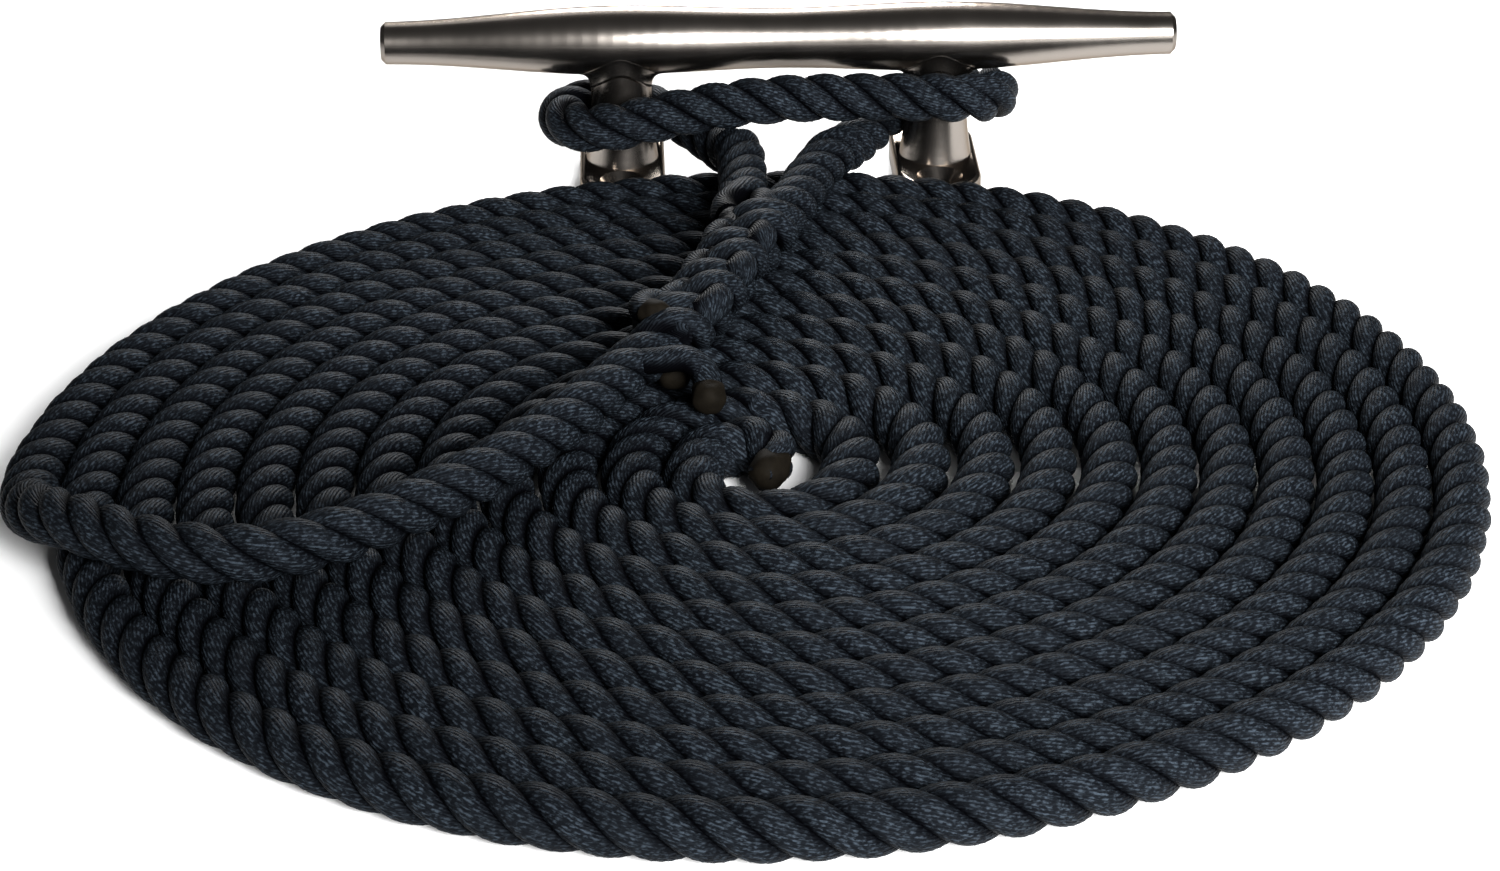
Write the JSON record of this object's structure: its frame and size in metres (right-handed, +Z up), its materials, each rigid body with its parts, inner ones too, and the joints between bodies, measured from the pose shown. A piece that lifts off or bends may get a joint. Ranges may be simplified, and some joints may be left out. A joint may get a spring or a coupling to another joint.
{
  "type": "coiled dock line on a cleat",
  "caption": "Three-strand mooring line in a flat spiral coil, its spliced eye passed through a two-post deck cleat and looped over the horns.",
  "frame": {"origin": "centre of the cleat's four deck holes, on the deck plane", "axes": "+X along the cleat's horns, +Y away from the coil, +Z up from the deck"},
  "size_m": [0.4052, 0.4485, 0.0603],
  "materials": {
    "stainless_casting": "cast stainless steel, mirror polished",
    "nylon_line": "black three-strand laid nylon, soft sheen",
    "sealed_nylon": "black laid nylon with its cut ends fused by heat"
  },
  "bodies": {
    "root": {"cleat": "stainless_casting", "coil": "nylon_line", "lead": "nylon_line", "splice": "nylon_line", "eye": "nylon_line", "bitter_end": "sealed_nylon", "tail_left": "sealed_nylon", "tail_right": "sealed_nylon", "tail_under": "sealed_nylon"}
  },
  "joints": []
}
